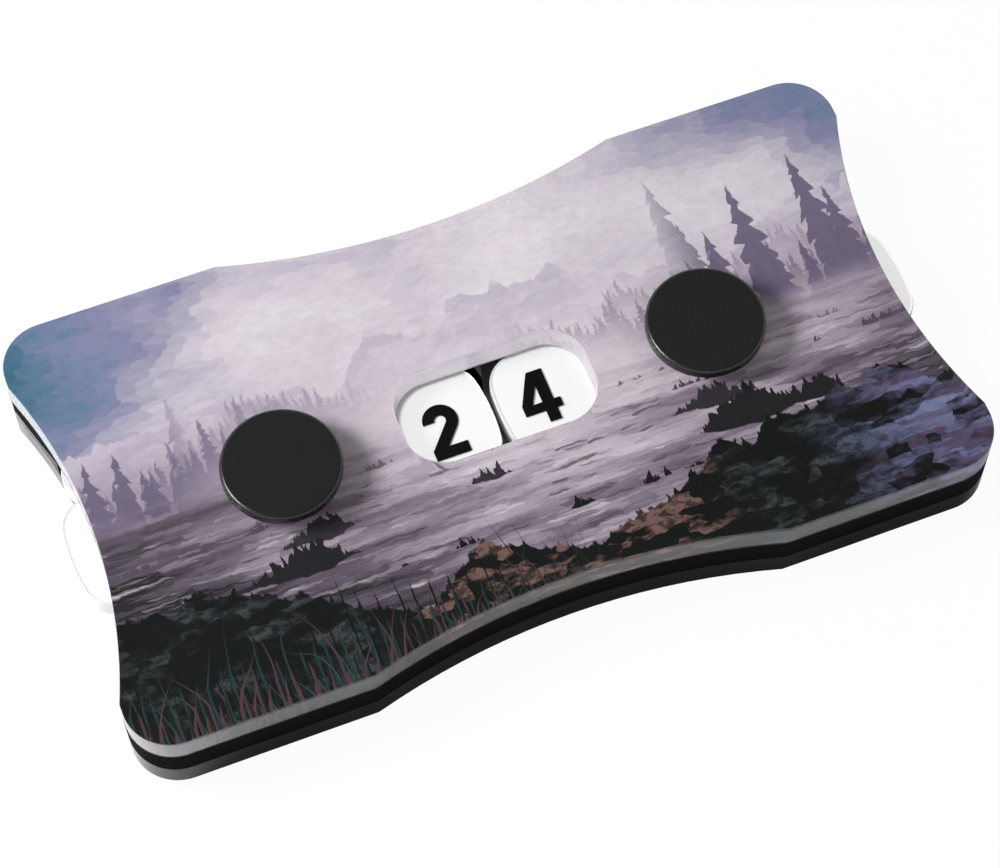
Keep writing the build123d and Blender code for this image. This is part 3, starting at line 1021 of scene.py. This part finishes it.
form = bmesh.new()
quarter_outline(form)
quarter_window(form)
for axis in ("X", "Y"):
    mirrored(form, form.verts[:] + form.edges[:], axis)
for side in SIDES:
    hole_place = Matrix.Translation((AXIS_X[side], 0, 0))
    bmesh.ops.create_circle(form, radius=POST_HOLE * MM, segments=HOLE_STEPS, matrix=hole_place)
thicken(form, FRONT[0].z - PRINT_CONTACT * MM, FRONT[1].z, SHEET_ROUND * MM, sharp_foot=True)
form.normal_update()
for face in form.faces:
    face.material_index = 1 if abs(face.normal.z) < EDGE_SLOPE else 0
add_piece(form, "clear_sheet", "front_plate", "case", CLEAR_FACE, CLEAR_EDGE)

# %% [markdown]
# A dial is a disc with ten lobes, so that a thumb can push it on by one number. One lobe is drawn
# with three arcs that run into each other, and the spin operator repeats it round the axis. The
# thumb also rounds the edges over the years, which shows as a soft line of light.
# %% Dials
LOBES = 10
LOBE_LEAD = radians(1.75)
DIAL_RADIUS = 21.75
NOTCH_DEPTH = 2.05
NOTCH_ROOT = 0.4
LOBE_CORNER = 3.15
DIAL_BORE = 4.06
DIAL_ROUND = 0.3
LOBE_STEPS = 12
BORE_STEPS = 64


def polar(radius, angle):
    """The point at this distance and direction from the axis."""
    return Vector((radius * cos(angle), radius * sin(angle)))


def lobed_outline(form):
    """The outline of a dial round the origin."""
    root_radius = DIAL_RADIUS - NOTCH_DEPTH
    root_angle = pi / LOBES - asin(NOTCH_ROOT / 2 / root_radius)
    centre_radius = DIAL_RADIUS - LOBE_CORNER
    reach = (centre_radius**2 + root_radius**2 - LOBE_CORNER**2) / (2 * centre_radius * root_radius)
    rim_angle = root_angle - acos(reach)
    first = polar(centre_radius, LOBE_LEAD - rim_angle)
    second = polar(centre_radius, LOBE_LEAD + rim_angle)
    start = polar(root_radius, LOBE_LEAD - root_angle)
    turn = (start - first).angle(first)
    corner = arc_on(form, point(form, *start), *first, turn, LOBE_STEPS)
    corner = arc_on(form, corner, 0, 0, 2 * rim_angle, LOBE_STEPS)
    corner = arc_on(form, corner, *second, turn, LOBE_STEPS)
    line_on(form, corner, *polar(root_radius, LOBE_LEAD + 2 * pi / LOBES - root_angle))
    bmesh.ops.spin(
        form, geom=form.verts[:] + form.edges[:], cent=(0, 0, 0), axis=(0, 0, 1),
        angle=2 * pi * (LOBES - 1) / LOBES, steps=LOBES - 1, use_merge=False, use_duplicate=True,
    )
    bmesh.ops.remove_doubles(form, verts=form.verts, dist=2 * WELD)


for side, name in SIDES.items():
    dial_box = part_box(name + "_dial")
    form = bmesh.new()
    lobed_outline(form)
    bmesh.ops.create_circle(form, radius=DIAL_BORE * MM, segments=BORE_STEPS)
    thicken(form, dial_box[0].z, dial_box[1].z, DIAL_ROUND * MM)
    bmesh.ops.translate(form, verts=form.verts, vec=(AXIS_X[side], 0, 0))
    add_piece(form, name + "_lobed_dial", name + "_dial", name + "_wheel", WHITE_ACRYLIC)

# %% [markdown]
# A post is turned on a lathe, so it is modelled on one: half of its section is drawn point by point
# and spun round the axis. The head's rim is an arc, and the bore in the barrel takes the screw.
# %% Posts
HEAD_ROUND = 0.4
HEAD_RING = 1.0
BARREL = 2.5
THREAD = 1.65
BARREL_CAP = 1.4
RIM_STEPS = 8
LATHE_STEPS = 96

for side in SIDES:
    head_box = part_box(side + "_binding_post")
    head_radius = (head_box[1].x - head_box[0].x) / 2 / MM
    face_drop = (TOP - head_box[1].z) / MM
    foot_drop = (head_box[0].z - head_box[1].z) / MM
    thread_drop = face_drop - BARREL_CAP
    form = bmesh.new()
    corner = point(form, 0, 0)
    for radius in (head_radius - HEAD_RING, head_radius - HEAD_ROUND):
        corner = line_on(form, corner, radius, 0)
    corner = arc_on(form, corner, head_radius - HEAD_ROUND, -HEAD_ROUND, -pi / 2, RIM_STEPS)
    for radius, drop in (
        (head_radius, face_drop), (BARREL, face_drop), (BARREL, foot_drop),
        (THREAD, foot_drop), (THREAD, thread_drop), (0, thread_drop),
    ):
        corner = line_on(form, corner, radius, drop)
    upright = Matrix.Rotation(pi / 2, 4, "X")
    bmesh.ops.transform(form, matrix=upright, verts=form.verts)
    bmesh.ops.spin(
        form, geom=form.verts[:] + form.edges[:], cent=(0, 0, 0), axis=(0, 0, 1),
        angle=2 * pi, steps=LATHE_STEPS, use_merge=True, use_duplicate=False,
    )
    bmesh.ops.remove_doubles(form, verts=form.verts, dist=WELD)
    bmesh.ops.recalc_face_normals(form, faces=form.faces)
    bmesh.ops.translate(form, verts=form.verts, vec=(AXIS_X[side], 0, head_box[1].z))
    form.normal_update()
    add_piece(form, side + "_post", side + "_binding_post", "case", COATED_BLACK)

# %% [markdown]
# The light is a photographer's white tent with a dark roof. A large soft lamp at the upper left
# lays soft shadows to the right of the posts, and a weak one in front lifts the near edge. Gloss
# mirrors the tent: its pale walls show in the cut edges, and its dark roof keeps the face clear of
# glare, because the roof is what the flat face mirrors towards the camera.
# %% Light
ROOF_EDGE = (0.35, 0.75)
ROOF_DARKNESS = 0.92
TENT_LIGHT = 0.43


def soft_lamp(name, azimuth, elevation, distance, size, watts):
    """A square area lamp aimed at the counter. Azimuth 0 stands at -Y and 90 at +X."""
    data = bpy.data.lights.new(name, "AREA")
    data.size = size
    data.energy = watts
    lamp = bpy.data.objects.new(name, data)
    turn, rise = radians(azimuth), radians(elevation)
    towards = Vector((sin(turn) * cos(rise), -cos(turn) * cos(rise), sin(rise)))
    lamp.location = towards * distance
    lamp.rotation_euler = towards.to_track_quat("Z", "Y").to_euler()
    bpy.context.scene.collection.objects.link(lamp)


def background(tree, strength):
    """A white background of this strength."""
    node = add(tree, "Background")
    fill(tree, node, Color=WHITE, Strength=strength)
    return node.outputs[0]


soft_lamp("key", azimuth=-109, elevation=46, distance=0.46, size=0.16, watts=2.0)
soft_lamp("front_fill", azimuth=-40, elevation=30, distance=0.6, size=0.4, watts=0.1)
world = bpy.data.worlds.new("tent")
bpy.context.scene.world = world
world.use_nodes = True
tent = world.node_tree
tent.nodes.clear()
height = split_xyz(tent, add(tent, "TexCoord").outputs["Generated"])[2]
roof = step_up(tent, height, *ROOF_EDGE)
seen = any_ray(tent, "Is Glossy Ray", "Is Transmission Ray", "Is Camera Ray")
walls_and_roof = background(tent, linear(tent, roof, -ROOF_DARKNESS, 1.0))
sky_light = either(tent, seen, background(tent, TENT_LIGHT), walls_and_roof)
feed(tent, add(tent, "OutputWorld").inputs["Surface"], sky_light)
print("lamps:", [lamp.name for lamp in bpy.data.lights])

# %% [markdown]
# The table is white paper. To the camera it is mostly plain white, so that the counter stands on a
# clean page, but enough of its real shade stays to keep the soft shadow that grounds the counter.
# In gloss and through the clear sheet it is a little brighter than its shade as well.
# %% Floor
FLOOR_HALF = 2.0
PAPER_TINT = srgb(250, 250, 250)
PAPER_ROUGHNESS = 0.9
PAGE_WHITE = 0.955
MIRRORED_WHITE = 0.1

floor_form = bmesh.new()
bmesh.ops.create_grid(floor_form, x_segments=1, y_segments=1, size=FLOOR_HALF)
PAPER, paper_tree = new_material("white_paper")
paper = principled(paper_tree, PAPER_TINT, PAPER_ROUGHNESS)
glow = add(paper_tree, "Emission")
fill(paper_tree, glow, Strength=1.0)
mirrored_rays = any_ray(paper_tree, "Is Glossy Ray", "Is Transmission Ray")
page_white = times(paper_tree, any_ray(paper_tree, "Is Camera Ray"), PAGE_WHITE)
page_white = linear(paper_tree, mirrored_rays, MIRRORED_WHITE, page_white)
show(paper_tree, either(paper_tree, page_white, paper, glow.outputs[0]))
floor = mesh_object(floor_form, "floor", PAPER)
bpy.context.scene.view_settings.view_transform = "Standard"
print("floor ready")
